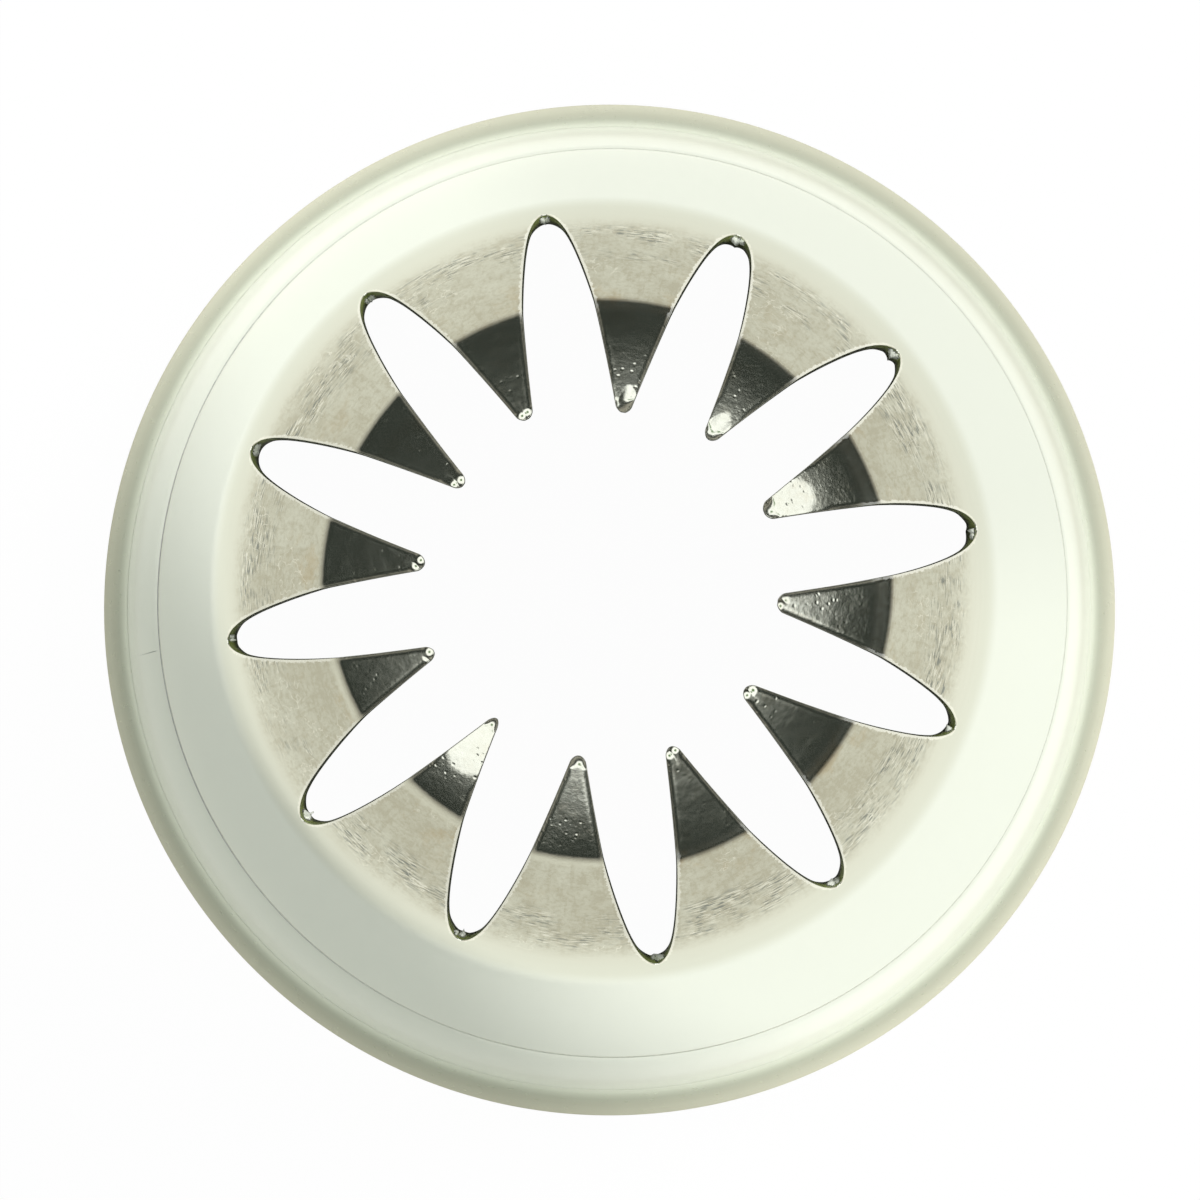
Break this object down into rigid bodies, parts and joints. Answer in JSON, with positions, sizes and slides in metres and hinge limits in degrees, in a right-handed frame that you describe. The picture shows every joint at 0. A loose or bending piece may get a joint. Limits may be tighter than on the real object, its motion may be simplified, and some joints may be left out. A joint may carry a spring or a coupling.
{
  "type": "piping nozzle",
  "caption": "Conical steel piping nozzle: slotted end folded in as a closed star of teeth round an open mouth, on a lapped collar with a flared rim.",
  "frame": {"origin": "centre of the base, on the plane that the rim ring stands on", "axes": "+Z along the nozzle's axis, from the base to the toothed tip; +X and +Y are the picture's right and up, seen from the tip"},
  "size_m": [0.0244, 0.0244, 0.027],
  "materials": {
    "cone_steel": "polished drawn stainless sheet, brushed and speckled on the folded teeth",
    "collar_steel": "polished stainless sheet with fine turning marks",
    "rim_steel": "satin stainless ring, slightly worn at its outer edge"
  },
  "bodies": {
    "root": {"cone_shell": "cone_steel", "base_collar": "collar_steel", "rim_ring": "rim_steel"}
  },
  "joints": []
}
